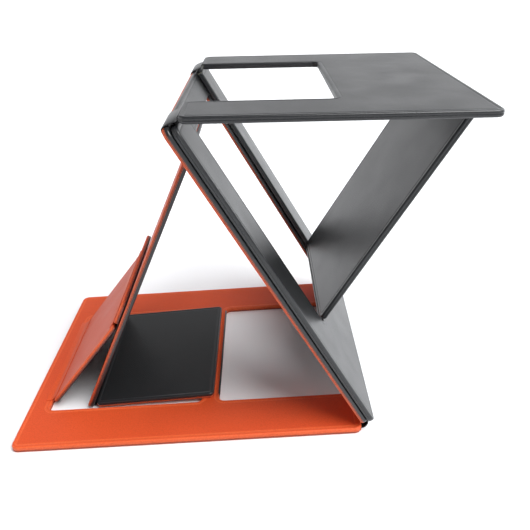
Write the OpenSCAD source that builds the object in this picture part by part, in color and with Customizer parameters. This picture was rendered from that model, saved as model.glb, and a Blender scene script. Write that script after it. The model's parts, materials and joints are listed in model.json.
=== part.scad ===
// Folding laptop stand, standing in its tall Z position.
// Leather-wrapped fibreglass boards are joined by leather folds. Every board is
// a stiff core between two bonded skins, with thin disc magnets let into the core.
//
// Frame: +Z up, +Y away from the user's left hand, origin under the base's middle.
// A board is drawn in its own frame: x runs along it from its fold line, y is
// across, and z is its thickness; then it is turned into place about that line.

/* [Boards] */
// Depth of the stand, along the fold lines
depth = 228; // [200:1:260]
// Thickness of a wrapped board
board_t = 4.6; // [4:0.1:6]
// Thickness of the two lock flap boards
flap_t = 4.2; // [3.6:0.1:4.6]
// Thickness of the bonded leather skin
skin_t = 0.7; // [0.5:0.1:1]
// Corner radius of the large boards
corner_r = 6; // [3:0.5:10]
// Corner radius of the struts and flaps
flap_r = 4; // [2:0.5:6]
// Corner radius of the openings
opening_r = 5; // [3:0.5:8]
// Width of the side rails left beside an opening
rail_w = 42; // [30:1:50]
// Gap between a strut or flap and the opening it stows in
stow_gap = 3; // [1:0.5:5]

/* [Base] */
// Length of the base, from its free edge to the fold
base_l = 269.2; // [260:0.1:285]
// Where the left opening starts, from the free edge
left_open_x = 17; // [12:1:25]
// Where the cross bar starts, from the free edge
bar_x = 144; // [130:1:150]
// Width of the cross bar
bar_w = 14; // [10:1:20]

/* [Middle panel] */
// Slope of the middle panel
middle_angle = 62.5; // [60:0.5:65]
// Length of the middle panel up to the top fold
middle_l = 262.5; // [255:0.5:270]
// Distance from the base fold up to the strut's fold
strut_s = 240.5; // [238:0.5:242]
// Gap between the two stacked boards
stack_gap = 0.4; // [0.2:0.1:1]

/* [Top panel and prop] */
// Angle between the middle panel and the top panel
top_angle = 60; // [59:0.5:61]
// Length of the top panel
top_l = 192.5; // [185:0.5:200]
// Length of the opening at its folded end
top_open_l = 99; // [80:1:110]
// Distance from the top fold to the prop's fold
prop_at = 190.5; // [185:0.5:191]
// Length of the prop
prop_l = 189.8; // [185:0.1:190]

/* [Strut, tie flap and lock flap] */
// Length of the strut
strut_l = 243; // [240:0.1:244]
// Where the foot crease lies along the strut
crease_s = 243.9; // [243.8:0.1:245]
// Slope of the lock flap's lower board
lock_angle = 48.5; // [48:0.1:49]
// Length of the lock flap's lower board
lock_l = 96; // [94:0.5:97]
// Length of the lock flap's upper board
lock_tip_l = 23; // [18:1:26]
// Extra inset of the lock flap at each side
lock_inset = 5; // [3:0.5:8]

/* [Magnets] */
// Radius of a disc magnet
magnet_r = 5; // [3:0.5:6]
// Thickness of a disc magnet
magnet_t = 1.4; // [1:0.1:2]

/* [Hidden] */
$fn = 48;

orange = "#d2562f";
black = "#26282b";
fibreglass = "#b9bd9a";
nickel = "#b8babd";

fold_r = 0.7;                       // radius of the bead where a leather fold turns
fold_gap = 1.4;                     // a board ends this far from its fold line
edge_gap = 0.9;                     // distance from a fold line to the edge it turns over
base_seam = 0.2;                    // share of the thickness where the two skins meet
open_seam = 0.3;                    // the same on the boards that are lined in orange
flap_seam = 0.5;                    // the same on the lock flap
black_seam = 0.5;                   // the same on the boards that are all black
open_w = depth - 2 * rail_w;        // width of every opening
flap_w = open_w - 2 * stow_gap;     // width of the struts and the tie flap
lock_w = flap_w - 2 * lock_inset;   // width of the lock flap
magnet_inset = 11;                  // from a board's edge to a magnet's centre
overcut = 1;                        // how far a cut runs past a face

base_x0 = -136;                     // free edge of the base
fold_x = base_x0 + base_l + 1.2;    // base fold line
fold_z = board_t + 0.4;             // height of the base and lock fold lines
stack_t = 2 * board_t + stack_gap;  // thickness of the middle panel
tie_from = [base_x0 + bar_x + bar_w + edge_gap, board_t + 0.7];
left_edge = base_x0 + left_open_x;  // left edge of the base's left opening
lock_x = left_edge + edge_gap;
prop_open_l = middle_l - 71.8;      // length of the opening that the prop stows in

// A point at distance s up the middle panel, and n out from its lower face
function on_middle(s, n) = [
    fold_x - s * cos(middle_angle) + n * sin(middle_angle),
    fold_z + s * sin(middle_angle) + n * cos(middle_angle)
];

top_at = on_middle(middle_l, stack_t + 0.2);
top_slope = middle_angle - top_angle;
prop_from = top_at + prop_at * [cos(top_slope), -sin(top_slope)]
    - edge_gap * [sin(top_slope), cos(top_slope)];

// The prop leans so that its foot sits just inside the opening of the middle panel
foot_depth = 2.0;
prop_lean = asin((prop_at * sin(top_angle) - edge_gap / 2 + foot_depth) / prop_l);
prop_angle = 180 - prop_lean - middle_angle;

// The strut stands in the left opening, with its lower corner just off the table
strut_from = on_middle(strut_s, 0);
strut_foot_z = 0.15;
strut_angle = asin((strut_from[1] - strut_foot_z - board_t * 0.459) / strut_l);

// The tie flap turns about a crease below the strut's foot, and reaches the cross bar
crease_n = 0;                       // it lies on the strut's outer side, under its foot
crease_gap = 8.3;                   // so the flap starts this far from it
tie_end_gap = 4.8;                  // and ends this far from its fold over the bar
foot_at = strut_from
    - crease_s * [cos(strut_angle), sin(strut_angle)]
    + crease_n * [sin(strut_angle), -cos(strut_angle)];
tie_l = norm(tie_from - foot_at);
tie_slope = asin((tie_from[1] - foot_at[1]) / tie_l);
lock_tip_from = [
    lock_x + lock_l * cos(lock_angle),
    fold_z + lock_l * sin(lock_angle)
];

// Turns a board about its fold line: angle is measured up from +X
module turned(from, angle) {
    translate([from[0], 0, from[1]]) rotate([0, -angle, 0]) children();
}

// Rectangle from x0 to x1, width w, with its four corners rounded
module rounded(x0, x1, w, r) {
    translate([x0 + r, -w / 2]) square([x1 - x0 - 2 * r, w]);
    translate([x0, -w / 2 + r]) square([x1 - x0, w - 2 * r]);
    for (x = [x0 + r, x1 - r], y = [-w / 2 + r, w / 2 - r]) translate([x, y]) circle(r);
}

// One board's outline. grow moves every edge out; cuts are [x0, x1] openings
module outline(x0, x1, w, r, cuts, grow) {
    difference() {
        rounded(x0 - grow, x1 + grow, w + 2 * grow, r + grow);
        for (c = cuts) rounded(c[0] + grow, c[1] - grow, open_w - 2 * grow, opening_r - grow);
    }
}

// Stiff core with pockets for the magnets that sit flush in its upper face
module core(x0, x1, w, r, t, cuts, magnets) {
    difference() {
        translate([0, 0, skin_t]) linear_extrude(t - 2 * skin_t)
            outline(x0, x1, w, r, cuts, -skin_t);
        for (m = magnets) translate([m[0], m[1], t - skin_t - magnet_t])
            cylinder(h = magnet_t + overcut, r = magnet_r);
    }
}

module discs(t, magnets) {
    for (m = magnets) translate([m[0], m[1], t - skin_t - magnet_t])
        cylinder(h = magnet_t, r = magnet_r);
}

// Skin on the upper face, wrapped down the edges to the seam
module cover(x0, x1, w, r, t, cuts, seam) {
    difference() {
        translate([0, 0, t * seam]) linear_extrude(t * (1 - seam))
            outline(x0, x1, w, r, cuts, 0);
        translate([0, 0, t * seam - overcut])
            linear_extrude(t * (1 - seam) - skin_t + overcut)
            outline(x0, x1, w, r, cuts, -skin_t);
    }
}

// Skin on the lower face, wrapped up the edges to the seam
module lining(x0, x1, w, r, t, cuts, seam) {
    difference() {
        linear_extrude(t * seam) outline(x0, x1, w, r, cuts, 0);
        translate([0, 0, skin_t]) linear_extrude(t * seam)
            outline(x0, x1, w, r, cuts, -skin_t);
    }
}

// The bead of a leather fold, between y0 and y1 on the fold line
module fold_bead(spans) {
    for (s = spans) translate([0, s[0], 0]) rotate([-90, 0, 0])
        cylinder(h = s[1] - s[0], r = fold_r);
}

// Spans of a fold: across a flap, or along the two rails beside an opening
function across(w) = [[-w / 2 + flap_r, w / 2 - flap_r]];
function rails(w) = [
    [-w / 2 + corner_r, -open_w / 2 - 1],
    [open_w / 2 + 1, w / 2 - corner_r]
];

// Base: lies on the table. Its right opening runs out through the folded end
base_x1 = base_x0 + base_l;
base_cuts = [
    [left_edge, base_x0 + bar_x],
    [base_x0 + bar_x + bar_w, base_x1 + 3 * opening_r]
];
base_magnet_at = [
    for (x = [base_x0 + 60, base_x1 - 40], y = [-1, 1]) [x, y * (depth / 2 - magnet_inset - 8)]
];
module base_core() {
    color(fibreglass)
        core(base_x0, base_x1, depth, corner_r, board_t, base_cuts, base_magnet_at);
}
module base_cover() {
    color(orange) cover(base_x0, base_x1, depth, corner_r, board_t, base_cuts, base_seam);
}
module base_lining() {
    color(black) lining(base_x0, base_x1, depth, corner_r, board_t, base_cuts, base_seam);
}
module base_magnets() {
    color(nickel) discs(board_t, base_magnet_at);
}

// Middle panel: drawn with its lower face on z = 0 and its stack above, then mirrored
// so that the stack lies on the side that faces away from the base
middle_tilt = 180 - middle_angle;
module on_middle_panel(n) {
    turned([fold_x, fold_z], middle_tilt) mirror([0, 0, 1]) translate([0, 0, n]) children();
}

// Lower board: its opening holds the strut, and runs out at the base fold
lower_x1 = middle_l + 1;
lower_cuts = [[-3 * opening_r, strut_s + 1]];
module lower_middle_core() {
    color(fibreglass) on_middle_panel(0)
        core(fold_gap, lower_x1, depth, corner_r, board_t, lower_cuts, []);
}
module lower_middle_cover() {
    color(black) on_middle_panel(0)
        cover(fold_gap, lower_x1, depth, corner_r, board_t, lower_cuts, open_seam);
}
module lower_middle_lining() {
    color(orange) on_middle_panel(0)
        lining(fold_gap, lower_x1, depth, corner_r, board_t, lower_cuts, open_seam);
}
module base_fold() {
    color(orange) turned([fold_x, fold_z], 0) fold_bead(rails(depth));
}

// Upper board: its opening holds the prop, and runs out at the top fold
upper_n = board_t + stack_gap;
upper_x1 = middle_l - fold_gap;
upper_cuts = [[middle_l - prop_open_l, middle_l + 3 * opening_r]];
middle_magnet_at = [
    for (x = [60, 225], y = [-1, 1]) [x, y * (depth / 2 - magnet_inset - 8)]
];
module upper_middle_core() {
    color(fibreglass) on_middle_panel(upper_n)
        core(0, upper_x1, depth, corner_r, board_t, upper_cuts, middle_magnet_at);
}
module upper_middle_cover() {
    color(black) on_middle_panel(upper_n)
        cover(0, upper_x1, depth, corner_r, board_t, upper_cuts, black_seam);
}
module upper_middle_lining() {
    color(black) on_middle_panel(upper_n)
        lining(0, upper_x1, depth, corner_r, board_t, upper_cuts, black_seam);
}
module middle_magnets() {
    color(nickel) on_middle_panel(upper_n) discs(board_t, middle_magnet_at);
}

// Top panel: carries the laptop. Its opening runs out at the top fold
top_cuts = [[-3 * opening_r, top_open_l]];
top_magnet_at = [for (y = [-1, 1]) [130, y * (depth / 2 - magnet_inset - 8)]];
module top_core() {
    color(fibreglass) turned(top_at, -top_slope)
        core(fold_gap, top_l, depth, corner_r, board_t, top_cuts, top_magnet_at);
}
module top_cover() {
    color(black) turned(top_at, -top_slope)
        cover(fold_gap, top_l, depth, corner_r, board_t, top_cuts, black_seam);
}
module top_lining() {
    color(black) turned(top_at, -top_slope)
        lining(fold_gap, top_l, depth, corner_r, board_t, top_cuts, black_seam);
}
module top_magnets() {
    color(nickel) turned(top_at, -top_slope) discs(board_t, top_magnet_at);
}
module top_fold() {
    color(black) turned(top_at, 0) fold_bead(rails(depth));
}

// Prop: hangs from the underside of the top panel and stands in the middle panel
prop_turn = 180 + prop_angle;
prop_magnet_at = [for (y = [-1, 1]) [prop_l - magnet_inset, y * (flap_w / 2 - magnet_inset)]];
module prop_core() {
    color(fibreglass) turned(prop_from, prop_turn)
        core(fold_gap, prop_l, flap_w, flap_r, board_t, [], prop_magnet_at);
}
module prop_cover() {
    color(black) turned(prop_from, prop_turn)
        cover(fold_gap, prop_l, flap_w, flap_r, board_t, [], black_seam);
}
module prop_lining() {
    color(black) turned(prop_from, prop_turn)
        lining(fold_gap, prop_l, flap_w, flap_r, board_t, [], black_seam);
}
module prop_magnets() {
    color(nickel) turned(prop_from, prop_turn) discs(board_t, prop_magnet_at);
}
module prop_fold() {
    color(black) turned(prop_from, 0) fold_bead(across(flap_w));
}

// Strut: hangs from the lower face of the middle panel and stands in the base
strut_turn = 180 + strut_angle;
strut_magnet_at = [for (y = [-1, 1]) [strut_l - 95, y * (lock_w / 2 - magnet_inset)]];
module strut_core() {
    color(fibreglass) turned(strut_from, strut_turn)
        core(fold_gap, strut_l, flap_w, flap_r, board_t, [], strut_magnet_at);
}
module strut_cover() {
    color(black) turned(strut_from, strut_turn)
        cover(fold_gap, strut_l, flap_w, flap_r, board_t, [], open_seam);
}
module strut_lining() {
    color(orange) turned(strut_from, strut_turn)
        lining(fold_gap, strut_l, flap_w, flap_r, board_t, [], open_seam);
}
module strut_magnets() {
    color(nickel) turned(strut_from, strut_turn) discs(board_t, strut_magnet_at);
}
module strut_fold() {
    color(black) turned(strut_from, 0) fold_bead(across(flap_w));
}

// Tie flap: creased to the strut's foot, and folded over the cross bar of the base
tie_x1 = tie_l - tie_end_gap;
module on_tie() {
    turned(foot_at, tie_slope) children();
}
module tie_core() {
    color(fibreglass) on_tie() core(crease_gap, tie_x1, flap_w, flap_r, board_t, [], []);
}
module tie_cover() {
    color(black) on_tie()
        cover(crease_gap, tie_x1, flap_w, flap_r, board_t, [], open_seam);
}
module tie_lining() {
    color(orange) on_tie()
        lining(crease_gap, tie_x1, flap_w, flap_r, board_t, [], open_seam);
}
module tie_fold() {
    color(black) turned(tie_from, 0) fold_bead(across(flap_w));
}
module foot_fold() {
    color(black) turned(foot_at, 0) fold_bead(across(flap_w));
}

// Lock flap: two boards that lean on the strut, held there by magnets
module on_lock() {
    turned([lock_x, fold_z], lock_angle) mirror([0, 0, 1]) children();
}
module lock_core() {
    color(fibreglass) on_lock() core(fold_gap, lock_l - fold_gap, lock_w, flap_r, flap_t, [], []);
}
module lock_cover() {
    color(black) on_lock()
        cover(fold_gap, lock_l - fold_gap, lock_w, flap_r, flap_t, [], flap_seam);
}
module lock_lining() {
    color(orange) on_lock()
        lining(fold_gap, lock_l - fold_gap, lock_w, flap_r, flap_t, [], flap_seam);
}
module lock_fold() {
    color(orange) turned([lock_x, fold_z], 0) fold_bead(across(lock_w));
}

lock_tip_magnet_at = [for (y = [-1, 1]) [lock_tip_l / 2 + 1, y * (lock_w / 2 - magnet_inset)]];
module on_lock_tip() {
    turned(lock_tip_from, strut_angle) mirror([0, 0, 1]) children();
}
module lock_tip_core() {
    color(fibreglass) on_lock_tip()
        core(fold_gap, lock_tip_l, lock_w, flap_r, flap_t, [], lock_tip_magnet_at);
}
module lock_tip_cover() {
    color(black) on_lock_tip()
        cover(fold_gap, lock_tip_l, lock_w, flap_r, flap_t, [], flap_seam);
}
module lock_tip_lining() {
    color(orange) on_lock_tip()
        lining(fold_gap, lock_tip_l, lock_w, flap_r, flap_t, [], flap_seam);
}
module lock_tip_magnets() {
    color(nickel) on_lock_tip() discs(flap_t, lock_tip_magnet_at);
}
module lock_tip_fold() {
    color(orange) turned(lock_tip_from, 0) fold_bead(across(lock_w));
}

base_core();
base_cover();
base_lining();
base_magnets();
lower_middle_core();
lower_middle_cover();
lower_middle_lining();
base_fold();
upper_middle_core();
upper_middle_cover();
upper_middle_lining();
middle_magnets();
top_core();
top_cover();
top_lining();
top_magnets();
top_fold();
prop_core();
prop_cover();
prop_lining();
prop_magnets();
prop_fold();
strut_core();
strut_cover();
strut_lining();
strut_magnets();
strut_fold();
tie_core();
tie_cover();
tie_lining();
tie_fold();
foot_fold();
lock_core();
lock_cover();
lock_lining();
lock_fold();
lock_tip_core();
lock_tip_cover();
lock_tip_lining();
lock_tip_magnets();
lock_tip_fold();
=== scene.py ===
import json
import math

import bpy
from mathutils import Matrix, Vector


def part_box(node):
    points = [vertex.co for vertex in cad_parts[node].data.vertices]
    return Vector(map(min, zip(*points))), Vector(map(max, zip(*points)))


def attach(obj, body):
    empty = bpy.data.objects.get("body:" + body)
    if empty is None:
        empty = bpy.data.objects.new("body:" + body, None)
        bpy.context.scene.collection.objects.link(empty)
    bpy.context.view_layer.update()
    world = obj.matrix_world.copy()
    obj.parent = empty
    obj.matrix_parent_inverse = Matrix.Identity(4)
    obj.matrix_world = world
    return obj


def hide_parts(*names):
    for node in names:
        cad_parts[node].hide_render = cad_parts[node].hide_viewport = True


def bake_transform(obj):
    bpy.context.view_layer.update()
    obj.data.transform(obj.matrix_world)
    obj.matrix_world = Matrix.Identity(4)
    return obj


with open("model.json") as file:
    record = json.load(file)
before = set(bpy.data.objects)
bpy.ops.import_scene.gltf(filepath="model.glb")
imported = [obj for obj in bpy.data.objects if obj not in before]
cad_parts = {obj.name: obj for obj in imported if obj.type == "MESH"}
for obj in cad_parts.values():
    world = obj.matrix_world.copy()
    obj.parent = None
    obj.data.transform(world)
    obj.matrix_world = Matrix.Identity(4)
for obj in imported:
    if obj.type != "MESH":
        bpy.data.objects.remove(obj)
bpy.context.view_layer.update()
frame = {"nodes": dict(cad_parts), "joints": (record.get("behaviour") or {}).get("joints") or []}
joint = {j["name"]: Vector(j["pos_m"]) for j in frame["joints"]}

# Base. A fibreglass board wrapped in two skins of coated leather: orange on top, folded over
# the edges, and black below. It has two openings, and a narrow bar between them carries the
# folded tie flap. The skins are bonded and pressed, so a fine line runs round every edge.
MM = 0.001
BOARD = 4.6 * MM
SKIN = 0.7 * MM
OPEN_W = 144 * MM
CORNER = 6 * MM
FLAP_CORNER = 4 * MM
GAP = 1.4 * MM  # bare leather between a board's end and its fold line
RUN_OUT = 15 * MM  # how far an open-ended opening is carried past its board
SMOOTH_BELOW = math.radians(50)
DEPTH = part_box("base_cover")[1].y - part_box("base_cover")[0].y
BASE_X0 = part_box("base_cover")[0].x
BASE_X1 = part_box("base_cover")[1].x


def deselect():
    if bpy.context.mode != "OBJECT":
        bpy.ops.object.mode_set(mode="OBJECT")
    bpy.ops.object.select_all(action="DESELECT")


def take(obj):
    deselect()
    obj.select_set(True)
    bpy.context.view_layer.objects.active = obj


def edit(obj, kind, chosen):
    """Opens obj for editing with only the chosen edges or faces selected."""
    numbers = [part.index for part in chosen]
    take(obj)
    mesh = obj.data
    for part in (*mesh.vertices, *mesh.edges, *mesh.polygons):
        part.select = False
    parts = mesh.edges if kind == "EDGE" else mesh.polygons
    for n in numbers:
        parts[n].select = True
    bpy.context.tool_settings.mesh_select_mode = (False, kind == "EDGE", kind == "FACE")
    bpy.ops.object.mode_set(mode="EDIT")


def done():
    bpy.ops.object.mode_set(mode="OBJECT")


def apply_modifier(obj, kind, **settings):
    take(obj)
    modifier = obj.modifiers.new(kind.lower(), kind)
    for key, value in settings.items():
        setattr(modifier, key, value)
    bpy.ops.object.modifier_apply(modifier=modifier.name)


def board_contours(x0, x1, width, corner, openings):
    """Outline corners of a board as x, y and radius, with the board always on the left."""
    half, open_half, tip, inner = width / 2, OPEN_W / 2, 2.5 * MM, 5 * MM
    outer = [(x0, -half, corner), (x1, -half, corner)]
    left_end, holes = [], []
    for start, end in openings:
        if end > x1:
            outer += [(x1, -open_half, tip), (start, -open_half, inner),
                      (start, open_half, inner), (x1, open_half, tip)]
        elif start < x0:
            left_end = [(x0, open_half, tip), (end, open_half, inner),
                        (end, -open_half, inner), (x0, -open_half, tip)]
        else:
            holes.append([(start, -open_half, inner), (start, open_half, inner),
                          (end, open_half, inner), (end, -open_half, inner)])
    outer += [(x1, half, corner), (x0, half, corner)] + left_end
    return [outer, *holes]


def moved_in(contour, inset, steps=7):
    """The points of a contour with every edge moved into the board."""
    points = []
    for k, (x, y, radius) in enumerate(contour):
        before, after = contour[k - 1], contour[(k + 1) % len(contour)]
        run_in = Vector((x - before[0], y - before[1])).normalized()
        run_out = Vector((after[0] - x, after[1] - y)).normalized()
        left = Vector((-run_in.y, run_in.x)) + Vector((-run_out.y, run_out.x))
        turn = 1 if run_in.x * run_out.y - run_in.y * run_out.x > 0 else -1
        bend = max(radius - turn * inset, 0.3 * MM)
        centre = Vector((x, y)) + left * (inset + turn * bend)
        first = math.atan2(run_in.x, -run_in.y) + (math.pi if turn > 0 else 0)
        for step in range(steps + 1):
            a = first + turn * step / steps * math.pi / 2
            points.append(centre + bend * Vector((math.cos(a), math.sin(a))))
    return points


def mark_rim(obj):
    """Writes 1 on the turned edges and 0 on the flat faces, for the wear in the materials."""
    mesh = obj.data
    turned = [0.0] * len(mesh.vertices)
    for face in mesh.polygons:
        if 0.15 < abs(face.normal.z) < 0.97:
            for v in face.vertices:
                turned[v] = 1.0
    rim = mesh.attributes.new("rim", "FLOAT", "POINT")
    rim.data.foreach_set("value", turned)


def skin(name, x0, x1, width, corner, openings, height):
    """One skin of a wrapped board: its face is at the top, and it turns down to the seam at 0.
    A pressed line runs round it, a little in from every edge. It is built from its outlines,
    because the turned edge has to keep its width round every corner and opening."""
    bend = min(1.3 * MM, height * 0.7)
    profile = [(0.2 * MM, 0), (0.06 * MM, 0.06 * MM), (0, 0.2 * MM)]
    for k in range(6):
        a = math.radians(18 * k)
        profile.append((bend * (1 - math.cos(a)), height - bend + bend * math.sin(a)))
    for inset, depth in ((3.0, 0), (3.3, 0.16), (3.6, 0.16), (3.9, 0), (4.4, 0)):
        profile.append((inset * MM, height - depth * MM))
    verts, faces = [], []
    for contour in board_contours(x0, x1, width, corner, openings):
        for level, (inset, z) in enumerate(profile):
            ring = [(p.x, p.y, z) for p in moved_in(contour, inset)]
            n, low = len(ring), len(verts) - len(ring)
            if level:
                faces += [(low + k, low + (k + 1) % n, low + n + (k + 1) % n, low + n + k)
                          for k in range(n)]
            verts += ring
    mesh = bpy.data.meshes.new(name)
    mesh.from_pydata(verts, [], faces)
    shell = bpy.data.objects.new(name, mesh)
    bpy.context.scene.collection.objects.link(shell)
    uses = {}
    for face in mesh.polygons:
        for key in face.edge_keys:
            uses[key] = uses.get(key, 0) + 1
    edit(shell, "EDGE", [e for e in mesh.edges if uses[e.key] == 1
                         and mesh.vertices[e.vertices[0]].co.z > height / 2])
    bpy.ops.mesh.fill(use_beauty=True)
    done()
    edit(shell, "FACE", [f for f in mesh.polygons if f.normal.z < -0.9])
    bpy.ops.mesh.flip_normals()
    done()
    apply_modifier(shell, "SOLIDIFY", thickness=SKIN, offset=-1, use_even_offset=True)
    mark_rim(shell)
    take(shell)
    bpy.ops.object.shade_smooth_by_angle(angle=SMOOTH_BELOW)
    return shell


def put(obj, at, angle, lift=0, turned_over=False):
    """Turns a piece that was made flat into its place about its fold line."""
    over = Matrix.Rotation(math.pi, 4, "X") if turned_over else Matrix.Identity(4)
    raised = Matrix.Translation((0, 0, lift))
    obj.matrix_world = Matrix.Translation(at) @ Matrix.Rotation(-angle, 4, "Y") @ raised @ over
    take(obj)
    bpy.ops.object.transform_apply(location=True, rotation=True, scale=True)


def new_group(name, inputs, outputs):
    group = bpy.data.node_groups.new(name, "ShaderNodeTree")
    for title, kind, value in inputs:
        socket = group.interface.new_socket(title, in_out="INPUT", socket_type=kind)
        if value is not None:
            socket.default_value = value
    for title, kind in outputs:
        group.interface.new_socket(title, in_out="OUTPUT", socket_type=kind)
    return group, group.nodes.new("NodeGroupInput"), group.nodes.new("NodeGroupOutput")


def add(tree, kind, settings=(), values=()):
    node = tree.nodes.new("ShaderNode" + kind)
    for key, value in dict(settings).items():
        setattr(node, key, value)
    for key, value in dict(values).items():
        node.inputs[key].default_value = value
    return node


def build_grain():
    """Pressed leather grain: small pebbles, with a faint diagonal rib."""
    tree, start, end = new_group(
        "leather_grain",
        [("Vector", "NodeSocketVector", None), ("Pebbles", "NodeSocketFloat", 1250.0),
         ("Rib", "NodeSocketFloat", 0.3)],
        [("Height", "NodeSocketFloat"), ("Hollows", "NodeSocketFloat")],
    )
    wander = add(tree, "TexNoise", values={"Scale": 400, "Detail": 2})
    shifted = add(tree, "VectorMath", {"operation": "MULTIPLY_ADD"}, {1: (0.0009, 0.0009, 0.0009)})
    pebbles = add(tree, "TexVoronoi", {"feature": "SMOOTH_F1"}, {"Smoothness": 0.6})
    ribs = add(tree, "TexWave", {"wave_type": "BANDS", "bands_direction": "DIAGONAL"},
               {"Scale": 260, "Distortion": 0.6, "Detail": 1})
    fine = add(tree, "TexNoise", values={"Scale": 3800, "Detail": 3})
    rounded = add(tree, "MapRange", values={"From Min": 0.05, "From Max": 0.75, "To Min": 1, "To Max": 0})
    ribbed = add(tree, "Math", {"operation": "MULTIPLY_ADD"})
    height = add(tree, "Math", {"operation": "MULTIPLY_ADD"}, {1: 0.25})
    hollows = add(tree, "Math", {"operation": "SUBTRACT", "use_clamp": True}, {0: 1.0})
    link = tree.links.new
    link(start.outputs["Vector"], wander.inputs["Vector"])
    link(wander.outputs["Color"], shifted.inputs[0])
    link(start.outputs["Vector"], shifted.inputs[2])
    link(shifted.outputs[0], pebbles.inputs["Vector"])
    link(start.outputs["Pebbles"], pebbles.inputs["Scale"])
    link(start.outputs["Vector"], ribs.inputs["Vector"])
    link(start.outputs["Vector"], fine.inputs["Vector"])
    link(pebbles.outputs["Distance"], rounded.inputs["Value"])
    link(ribs.outputs["Fac"], ribbed.inputs[0])
    link(start.outputs["Rib"], ribbed.inputs[1])
    link(rounded.outputs["Result"], ribbed.inputs[2])
    link(fine.outputs["Fac"], height.inputs[0])
    link(ribbed.outputs[0], height.inputs[2])
    link(height.outputs[0], end.inputs["Height"])
    link(rounded.outputs["Result"], hollows.inputs[1])
    link(hollows.outputs[0], end.inputs["Hollows"])
    return tree


def build_handling():
    """Uneven shade and gloss from handling, and lighter rubbed edges."""
    tree, start, end = new_group(
        "handling_wear",
        [("Vector", "NodeSocketVector", None), ("Rim", "NodeSocketFloat", 0.0)],
        [("Clouds", "NodeSocketFloat"), ("Rubbed", "NodeSocketFloat"), ("Smears", "NodeSocketFloat")],
    )
    clouds = add(tree, "TexNoise", values={"Scale": 14, "Detail": 3, "Roughness": 0.55})
    patches = add(tree, "TexNoise", values={"Scale": 700, "Detail": 4, "Roughness": 0.7})
    smears = add(tree, "TexNoise", values={"Scale": 30, "Detail": 5, "Distortion": 0.4})
    worn = add(tree, "MapRange", values={"From Min": 0.2, "From Max": 0.9, "To Max": 0.7})
    rubbed = add(tree, "Math", {"operation": "MULTIPLY", "use_clamp": True})
    link = tree.links.new
    for noise in (clouds, patches, smears):
        link(start.outputs["Vector"], noise.inputs["Vector"])
    link(patches.outputs["Fac"], worn.inputs["Value"])
    link(worn.outputs["Result"], rubbed.inputs[0])
    link(start.outputs["Rim"], rubbed.inputs[1])
    link(clouds.outputs["Fac"], end.inputs["Clouds"])
    link(rubbed.outputs[0], end.inputs["Rubbed"])
    link(smears.outputs["Fac"], end.inputs["Smears"])
    return tree


grain_group = build_grain()
handling_group = build_handling()


def use(tree, group):
    node = tree.nodes.new("ShaderNodeGroup")
    node.node_tree = group
    return node


def leather(name, dark, light, rubbed, gloss, bump, rib, specular):
    """Coated leather: painted shade darkens the hollows of its grain, and it is lighter where it is
    rubbed.
    """
    material = bpy.data.materials.new(name)
    material.use_nodes = True
    tree = material.node_tree
    surface = tree.nodes["Principled BSDF"]
    place = add(tree, "TexCoord")
    rim = add(tree, "Attribute", {"attribute_name": "rim"})
    grain = use(tree, grain_group)
    grain.inputs["Rib"].default_value = rib
    handling = use(tree, handling_group)
    shade = add(tree, "MixRGB", values={"Color1": (*dark, 1), "Color2": (*light, 1)})
    # Painted shade: this multiply darkens the base colour in the hollows of the grain.
    hollow_shade = add(tree, "MixRGB", {"blend_type": "MULTIPLY"}, {"Color2": (0.62, 0.58, 0.58, 1)})
    edged = add(tree, "MixRGB", values={"Color2": (*rubbed, 1)})
    hollow_shade_amount = add(tree, "Math", {"operation": "MULTIPLY"}, {1: 0.5})
    gloss_range = add(tree, "MapRange", values={"From Min": 0.3, "From Max": 0.7,
                                                "To Min": gloss[0], "To Max": gloss[1]})
    relief = add(tree, "Bump", values={"Strength": bump, "Distance": 0.12 * MM})
    link = tree.links.new
    link(place.outputs["Object"], grain.inputs["Vector"])
    link(place.outputs["Object"], handling.inputs["Vector"])
    link(rim.outputs["Fac"], handling.inputs["Rim"])
    link(handling.outputs["Clouds"], shade.inputs["Fac"])
    link(grain.outputs["Hollows"], hollow_shade_amount.inputs[0])
    link(hollow_shade_amount.outputs[0], hollow_shade.inputs["Fac"])
    link(shade.outputs[0], hollow_shade.inputs["Color1"])
    link(handling.outputs["Rubbed"], edged.inputs["Fac"])
    link(hollow_shade.outputs[0], edged.inputs["Color1"])
    link(edged.outputs[0], surface.inputs["Base Color"])
    link(handling.outputs["Smears"], gloss_range.inputs["Value"])
    link(gloss_range.outputs[0], surface.inputs["Roughness"])
    link(grain.outputs["Height"], relief.inputs["Height"])
    link(relief.outputs["Normal"], surface.inputs["Normal"])
    surface.inputs["Specular IOR Level"].default_value = specular
    return material


orange_leather = leather("orange_leather", (0.66, 0.075, 0.017), (0.76, 0.098, 0.024),
                         (0.90, 0.19, 0.055), (0.50, 0.58), 0.35, 0.15, 0.35)
black_leather = leather("black_leather", (0.010, 0.011, 0.012), (0.015, 0.016, 0.018),
                        (0.026, 0.028, 0.032), (0.30, 0.36), 0.4, 0.35, 0.6)
COAT = {"orange": (orange_leather, "orange_leather"), "black": (black_leather, "black_leather")}


def dress(obj, colour, body, node):
    """Gives a finished piece its leather, parents it to the body it rides on, and hides the part it stands
    in for.
    """
    material, slot = COAT[colour]
    obj.data.materials.clear()
    obj.data.materials.append(material)
    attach(obj, body)
    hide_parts(node)


def wrap_board(part, body, colours, seam, at, angle, turned_over, outline, thick=BOARD):
    """Both skins of one board. outline is x0, x1, width, corner radius and openings."""
    face, back = colours
    cover = skin(part + "_face_skin", *outline, thick * (1 - seam))
    lining = skin(part + "_back_skin", *outline, thick * seam)
    if turned_over:
        put(cover, at, angle, -thick * seam, True)
        put(lining, at, angle, -thick * seam)
    else:
        put(cover, at, angle, thick * seam)
        put(lining, at, angle, thick * seam, True)
    dress(cover, face, body, part + "_cover")
    dress(lining, back, body, part + "_lining")


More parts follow.
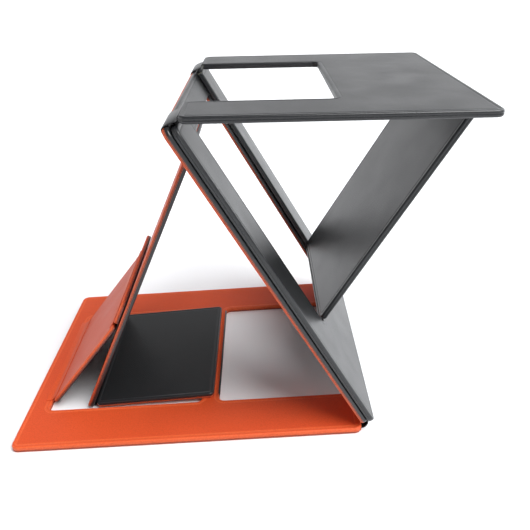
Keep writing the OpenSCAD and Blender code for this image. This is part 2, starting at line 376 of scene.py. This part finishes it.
LOCK_EDGE = BASE_X0 + 17 * MM
BAR_X0 = BASE_X0 + 144 * MM
BAR_X1 = BAR_X0 + 14 * MM
base_openings = [(LOCK_EDGE, BAR_X0), (BAR_X1, BASE_X1 + RUN_OUT)]
wrap_board("base", "base", ("orange", "black"), 0.2, (0, 0, 0), 0, False,
           (BASE_X0, BASE_X1, DEPTH, CORNER, base_openings))

# Middle panel. Two wrapped boards stacked face to face. The lower one is orange outside, and
# its opening stows the strut. The upper one is black, and its opening stows the prop. Both
# openings run out at one end, so only two rails meet the fold there.
FOLD = joint["main_fold"]
MIDDLE_TILT = math.radians(180 - 62.5)
MIDDLE_L = 262.5 * MM
STRUT_S = 240.5 * MM
UPPER_N = BOARD + 0.4 * MM
UPPER_OPEN = 71.8 * MM
outward = Vector((math.sin(MIDDLE_TILT), 0, -math.cos(MIDDLE_TILT)))
wrap_board("lower_middle", "middle_panel", ("black", "orange"), 0.3, FOLD, MIDDLE_TILT, True,
           (GAP, MIDDLE_L + MM, DEPTH, CORNER, [(-RUN_OUT, STRUT_S + MM)]))
wrap_board("upper_middle", "middle_panel", ("black", "black"), 0.5, FOLD + outward * UPPER_N,
           MIDDLE_TILT, True,
           (0, MIDDLE_L - GAP, DEPTH, CORNER, [(UPPER_OPEN, MIDDLE_L + RUN_OUT)]))

# Top panel. The laptop lies on it. It is one wrapped board, black all over, whose opening
# runs out at the fold and lets the prop pass when the stand is packed flat.
TOP = joint["top_lift"]
TOP_TILT = math.radians(-2.5)
TOP_L = 192.5 * MM
TOP_OPEN = 99 * MM
wrap_board("top", "top_panel", ("black", "black"), 0.5, TOP, TOP_TILT, False,
           (GAP, TOP_L, DEPTH, CORNER, [(-RUN_OUT, TOP_OPEN)]))

# Prop. A black wrapped board that hangs from the underside of the top panel on a leather
# fold. Its loose foot stands in the opening of the middle panel.
PROP = joint["prop_swing"]
PROP_L = 189.8 * MM
FLAP_W = OPEN_W - 6 * MM
PROP_S = 190.5 * MM  # from the top panel's fold to the prop's
FOOT_IN = 1.55 * MM  # how far the foot reaches past the line through the two folds
between_panels = math.pi - (MIDDLE_TILT - TOP_TILT)
foot_reach = PROP_S * math.sin(between_panels) + FOOT_IN
PROP_TILT = MIDDLE_TILT + math.pi - math.asin(foot_reach / PROP_L)
wrap_board("prop", "prop", ("black", "black"), 0.5, PROP, PROP_TILT, False,
           (GAP, PROP_L, FLAP_W, FLAP_CORNER, []))

# Strut. A wrapped board, orange towards the lock flap and black towards the middle. It hangs
# from the lower middle board, and its foot stands in the base's left opening.
STRUT = joint["strut_turn"]
STRUT_L = 243 * MM
FOOT_CLEARANCE = 0.15 * MM
strut_rise = math.asin((STRUT.z - FOOT_CLEARANCE - BOARD * 0.459) / STRUT_L)
strut_tilt = math.pi + strut_rise
wrap_board("strut", "strut", ("black", "orange"), 0.3, STRUT, strut_tilt, False,
           (GAP, STRUT_L, FLAP_W, FLAP_CORNER, []))

# Tie flap. A short wrapped board creased to the strut's foot. It holds the strut from sliding,
# and its other end is folded over the bar of the base.
CREASE = joint["tie_turn"]
TIE_END = Vector((BAR_X1 + 0.9 * MM, 0, BOARD + 0.7 * MM))
TIE_START, TIE_STOP = 8.3 * MM, 4.8 * MM  # bare leather at the crease and at the bar
tie_run = TIE_END - CREASE
tie_tilt = math.atan2(tie_run.z, tie_run.x)
wrap_board("tie", "tie_flap", ("black", "orange"), 0.3, CREASE, tie_tilt, False,
           (TIE_START, tie_run.length - TIE_STOP, FLAP_W, FLAP_CORNER, []))

# Lock flap. Two thinner wrapped boards, orange outside and black inside, that lean on the
# strut. Magnets in the short upper board hold it there.
LOCK = joint["lock_drop"]
LOCK_TIP = joint["lock_tip_bend"]
LOCK_W = FLAP_W - 10 * MM
LOCK_L = 94.6 * MM
LOCK_TIP_L = 23 * MM
THIN = 4.2 * MM
LOCK_TILT = math.radians(48.5)
wrap_board("lock", "lock_flap", ("black", "orange"), 0.5, LOCK, LOCK_TILT, True,
           (GAP, LOCK_L, LOCK_W, FLAP_CORNER, []), THIN)
wrap_board("lock_tip", "lock_tip", ("black", "orange"), 0.5, LOCK_TIP, strut_rise, True,
           (GAP, LOCK_TIP_L, LOCK_W, FLAP_CORNER, []), THIN)

# Folds. Where two boards meet, the bonded skin carries on from one to the other as a bare
# strip of leather, and bends there. On the large panels it crosses only the two side rails.
FOLD_SKIN = 0.6 * MM
FOLD_RUB = 0.35


def curve_through(points, steps=5):
    """A smooth path through the points, in the XZ plane."""
    path = [Vector(points[0])]
    padded = [points[0], *points, points[-1]]
    for a, b, c, d in zip(padded, padded[1:], padded[2:], padded[3:]):
        a, b, c, d = (Vector(p) for p in (a, b, c, d))
        for k in range(1, steps + 1):
            t = k / steps
            path.append(0.5 * (2 * b + (c - a) * t + (2 * a - 5 * b + 4 * c - d) * t * t
                               + (3 * b - a - 3 * c + d) * t ** 3))
    return path


def strip(name, points, y0, y1, side=1):
    """A strip of leather along the path, from y0 to y1, with its thickness on one side."""
    path = curve_through(points)
    deselect()
    bpy.ops.mesh.primitive_grid_add(x_subdivisions=len(path) - 1, y_subdivisions=1, size=1)
    band = bpy.context.object
    band.name = name
    for v in band.data.vertices:
        on_path = path[round((v.co.x + 0.5) * (len(path) - 1))]
        v.co = (on_path.x, y1 if v.co.y > 0 else y0, on_path.y)
    apply_modifier(band, "SOLIDIFY", thickness=FOLD_SKIN, offset=side, use_even_offset=True)
    apply_modifier(band, "BEVEL", width=0.18 * MM, segments=2, limit_method="ANGLE")
    edit(band, "FACE", band.data.polygons[:])
    bpy.ops.mesh.normals_make_consistent(inside=False)
    done()
    rim = band.data.attributes.new("rim", "FLOAT", "POINT")
    rim.data.foreach_set("value", [FOLD_RUB] * len(band.data.vertices))
    take(band)
    bpy.ops.object.shade_smooth_by_angle(angle=SMOOTH_BELOW)
    return band


def finish_strip(band, colour, node):
    """Gives a strip its leather, bakes its placement into its mesh, and hides the part it stands in for.
    """
    material, slot = COAT[colour]
    band.data.materials.append(material)
    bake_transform(band)
    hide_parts(node)


def on(at, angle, run, rise):
    """A point of a board's own frame, as x and z."""
    c, s = math.cos(angle), math.sin(angle)
    return (at.x + run * c - rise * s, at.z + run * s + rise * c)


RAILS = [("near", -DEPTH / 2 + 5 * MM, -OPEN_W / 2 - 2 * MM),
         ("far", OPEN_W / 2 + 2 * MM, DEPTH / 2 - 5 * MM)]


def on_middle(run, rise):
    return on(FOLD, MIDDLE_TILT, run, rise)


for place, y0, y1 in RAILS:
    # inner orange skin, from the base's top up the lower middle board
    inner = strip(f"base_fold_{place}", [
        (BASE_X1 - 5 * MM, BOARD + 0.05 * MM), (BASE_X1 - 1.2 * MM, BOARD + 0.1 * MM),
        on_middle(1.6 * MM, 0.25 * MM), on_middle(5 * MM, 0.08 * MM)], y0, y1)
    finish_strip(inner, "orange",
                 "base_fold")
    # outer black skin, from the base's underside round to the back of the lower board
    outer = strip(f"base_spine_{place}", [
        (BASE_X1 - 0.6 * MM, 0.9 * MM), (BASE_X1 + 1.6 * MM, 1.1 * MM),
        (BASE_X1 + 4 * MM, 3.4 * MM), on_middle(1.2 * MM, -BOARD + 0.1 * MM),
        on_middle(3.5 * MM, -BOARD - 0.1 * MM)], y0, y1, -1)
    finish_strip(outer, "black",
                 "base_fold")
    # black spine, from the back of the lower board over the stack's end to the top panel
    spine = strip(f"top_spine_{place}", [
        on_middle(MIDDLE_L - 13 * MM, 0.05 * MM), on_middle(MIDDLE_L - MM, 0.12 * MM),
        on_middle(MIDDLE_L + 1.5 * MM, -2 * MM), on_middle(MIDDLE_L + 1.2 * MM, -7 * MM),
        on(TOP, TOP_TILT, 0.1 * MM, 0.6 * MM), on(TOP, TOP_TILT, 0.9 * MM, 2.6 * MM),
        on(TOP, TOP_TILT, 2.2 * MM, 4.3 * MM)], y0, y1)
    finish_strip(spine, "black",
                 "top_fold")


def crease(name, colour, points, width, node):
    """The fold of a narrow flap, between its rounded corners."""
    reach = width / 2 - FLAP_CORNER
    band = strip(name, points, -reach, reach)
    finish_strip(band, colour, node)


crease("prop_crease", "black", [
    on(TOP, TOP_TILT, 184 * MM, -0.05 * MM), on(TOP, TOP_TILT, 188.5 * MM, -0.1 * MM),
    on(PROP, PROP_TILT, 1.5 * MM, -0.25 * MM), on(PROP, PROP_TILT, 6 * MM, -0.05 * MM)],
    FLAP_W, "prop_fold")
crease("strut_crease", "orange", [
    on_middle(STRUT_S + 5 * MM, 0.05 * MM), on_middle(STRUT_S + GAP, 0.2 * MM),
    on(STRUT, strut_tilt, 1.6 * MM, -0.2 * MM), on(STRUT, strut_tilt, 5 * MM, -0.05 * MM)],
    FLAP_W, "strut_fold")
crease("foot_crease", "black", [
    on(STRUT, strut_tilt, STRUT_L - 2 * MM, -0.1 * MM),
    on(STRUT, strut_tilt, STRUT_L + 0.2 * MM, 0.3 * MM), on(CREASE, 0, 2.5 * MM, -0.7 * MM),
    on(CREASE, 0, 8.2 * MM, -0.3 * MM), on(CREASE, 0, 10 * MM, 0.2 * MM)],
    FLAP_W, "foot_fold")
crease("lock_crease", "orange", [
    (LOCK_EDGE - 5 * MM, BOARD + 0.05 * MM), (LOCK_EDGE - 0.8 * MM, BOARD + 0.15 * MM),
    on(LOCK, LOCK_TILT, 1.8 * MM, 0.2 * MM), on(LOCK, LOCK_TILT, 6 * MM, 0.05 * MM)],
    LOCK_W, "lock_fold")
crease("lock_tip_crease", "orange", [
    on(LOCK, LOCK_TILT, 90.5 * MM, 0.05 * MM), on(LOCK, LOCK_TILT, 94.8 * MM, 0.1 * MM),
    on(LOCK_TIP, strut_rise, 1.3 * MM, 0.15 * MM), on(LOCK_TIP, strut_rise, 5.5 * MM, 0.05 * MM)],
    LOCK_W, "lock_tip_fold")
bar_wrap = strip("bar_wrap", [
    (BAR_X1 + 0.05 * MM, 0.6 * MM), (BAR_X1 + 0.1 * MM, 3.2 * MM), (BAR_X1 + 0.9 * MM, 4.9 * MM),
    (BAR_X1 + 0.7 * MM, 6.1 * MM), (BAR_X1 - 0.4 * MM, 6.5 * MM)],
    FLAP_CORNER - FLAP_W / 2, FLAP_W / 2 - FLAP_CORNER)
dress(bar_wrap, "black", "base", "tie_fold")

# Cores. Each board is stiffened by a thin fibreglass laminate, woven and resin-bound. The
# skins hide it, and it keeps the shape that the frame gives it.
def build_laminate():
    material = bpy.data.materials.new("fibreglass_core")
    material.use_nodes = True
    tree = material.node_tree
    surface = tree.nodes["Principled BSDF"]
    place = add(tree, "TexCoord")
    link = tree.links.new
    threads = []
    for direction in ("X", "Y"):
        wave = add(tree, "TexWave", {"wave_type": "BANDS", "bands_direction": direction},
                   {"Scale": 320, "Distortion": 0.4, "Detail": 1})
        link(place.outputs["Object"], wave.inputs["Vector"])
        threads.append(wave)
    woven = add(tree, "Math", {"operation": "MULTIPLY"})
    link(threads[0].outputs["Fac"], woven.inputs[0])
    link(threads[1].outputs["Fac"], woven.inputs[1])
    resin = add(tree, "TexNoise", values={"Scale": 60, "Detail": 4})
    link(place.outputs["Object"], resin.inputs["Vector"])
    tint = add(tree, "MixRGB", values={"Color1": (0.42, 0.45, 0.26, 1), "Color2": (0.68, 0.70, 0.50, 1)})
    link(woven.outputs[0], tint.inputs["Fac"])
    link(tint.outputs[0], surface.inputs["Base Color"])
    rough = add(tree, "MapRange", values={"To Min": 0.35, "To Max": 0.6})
    link(resin.outputs["Fac"], rough.inputs["Value"])
    link(rough.outputs[0], surface.inputs["Roughness"])
    relief = add(tree, "Bump", values={"Strength": 0.4, "Distance": 0.1 * MM})
    link(woven.outputs[0], relief.inputs["Height"])
    link(relief.outputs["Normal"], surface.inputs["Normal"])
    return material


def repaint(ending, material):
    for name, node in frame["nodes"].items():
        if name.endswith(ending):
            node.data.materials.clear()
            node.data.materials.append(material)


repaint("_core", build_laminate())

# Magnets. Thin nickel-plated discs let into the cores, under the skins. They hold the lock
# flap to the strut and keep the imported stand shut.
def build_nickel():
    material = bpy.data.materials.new("magnet")
    material.use_nodes = True
    tree = material.node_tree
    surface = tree.nodes["Principled BSDF"]
    place = add(tree, "TexCoord")
    scuffs = add(tree, "TexNoise", values={"Scale": 900, "Detail": 5})
    rough = add(tree, "MapRange", values={"To Min": 0.15, "To Max": 0.4})
    tint = add(tree, "MixRGB", values={"Color1": (0.55, 0.55, 0.56, 1), "Color2": (0.70, 0.70, 0.72, 1)})
    link = tree.links.new
    link(place.outputs["Object"], scuffs.inputs["Vector"])
    link(scuffs.outputs["Fac"], rough.inputs["Value"])
    link(rough.outputs[0], surface.inputs["Roughness"])
    link(scuffs.outputs["Fac"], tint.inputs["Fac"])
    link(tint.outputs[0], surface.inputs["Base Color"])
    surface.inputs["Metallic"].default_value = 1.0
    return material


repaint("_magnets", build_nickel())

# Studio. A white sweep of card under the stand, soft panels of light, and the camera. The
# card is a hair below the base, so the two faces never share a plane.
def build_card():
    material = bpy.data.materials.new("white_card")
    material.use_nodes = True
    surface = material.node_tree.nodes["Principled BSDF"]
    surface.inputs["Base Color"].default_value = (0.93, 0.94, 0.96, 1)
    surface.inputs["Roughness"].default_value = 0.8
    return material


deselect()
bpy.ops.mesh.primitive_plane_add(size=60, location=(0, 0, -0.3 * MM))
card = bpy.context.object
card.name = "white_card"
card.data.materials.append(build_card())

world = bpy.data.worlds.new("studio")
bpy.context.scene.world = world
world.use_nodes = True
sky = world.node_tree.nodes["Background"]
sky.inputs["Color"].default_value = (0.97, 0.98, 1.0, 1)
# The white backdrop glows low down behind the stand, and the rest of the room is dim.
seen = add(world.node_tree, "LightPath")
facing = add(world.node_tree, "TexCoord")
parts = add(world.node_tree, "SeparateXYZ")
behind = add(world.node_tree, "MapRange", values={"From Min": 0.1, "From Max": 0.6})
low = add(world.node_tree, "MapRange", values={"From Min": 0.2, "From Max": 0.5, "To Min": 1, "To Max": 0})
backdrop = add(world.node_tree, "Math", {"operation": "MULTIPLY"})
room = add(world.node_tree, "MapRange", values={"To Min": 0.16, "To Max": 1.15})
shown = add(world.node_tree, "Math", {"operation": "MAXIMUM"})
link = world.node_tree.links.new
link(facing.outputs["Generated"], parts.inputs[0])
link(parts.outputs["Y"], behind.inputs["Value"])
link(parts.outputs["Z"], low.inputs["Value"])
link(behind.outputs["Result"], backdrop.inputs[0])
link(low.outputs["Result"], backdrop.inputs[1])
link(backdrop.outputs[0], room.inputs["Value"])
link(room.outputs["Result"], shown.inputs[0])
link(seen.outputs["Is Camera Ray"], shown.inputs[1])
link(shown.outputs[0], sky.inputs["Strength"])


def panel_light(name, at, target, size, power, colour=(1, 1, 1)):
    data = bpy.data.lights.new(name, "AREA")
    data.shape = "RECTANGLE"
    data.size, data.size_y = size
    data.energy = power
    data.color = colour
    lamp = bpy.data.objects.new(name, data)
    bpy.context.scene.collection.objects.link(lamp)
    lamp.location = at
    lamp.rotation_euler = (Vector(target) - Vector(at)).to_track_quat("-Z", "Y").to_euler()


panel_light("window", (1.5, 1.0, 0.9), (0.1, 0, 0.12), (1.4, 1.4), 12, (0.93, 0.97, 1.0))
panel_light("left_fill", (-1.6, -0.3, 0.8), (-0.05, 0, 0.1), (1.0, 1.0), 5, (1.0, 0.97, 0.95))
roof = bpy.data.lights.new("roof_light", "SUN")
roof.energy = 4.6
roof.angle = math.radians(50)
roof_lamp = bpy.data.objects.new("roof_light", roof)
bpy.context.scene.collection.objects.link(roof_lamp)
roof_lamp.rotation_euler = Vector((-0.65, 0.35, -1)).to_track_quat("-Z", "Y").to_euler()

camera_data = bpy.data.cameras.new("camera")
camera_data.lens = 41.144
camera_data.sensor_width = 36
camera = bpy.data.objects.new("camera", camera_data)
bpy.context.scene.collection.objects.link(camera)
YAW, PITCH, ROLL = (math.radians(a) for a in (-1.083, 27.287, -4.031))
camera.matrix_world = (
    Matrix.Translation((0.07498, -0.46266, 0.32792))
    @ Matrix.Rotation(-YAW, 4, "Z")
    @ Matrix.Rotation(math.pi / 2 - PITCH, 4, "X")
    @ Matrix.Rotation(ROLL, 4, "Z")
)
bpy.context.scene.camera = camera
bpy.context.scene.view_settings.view_transform = "Standard"
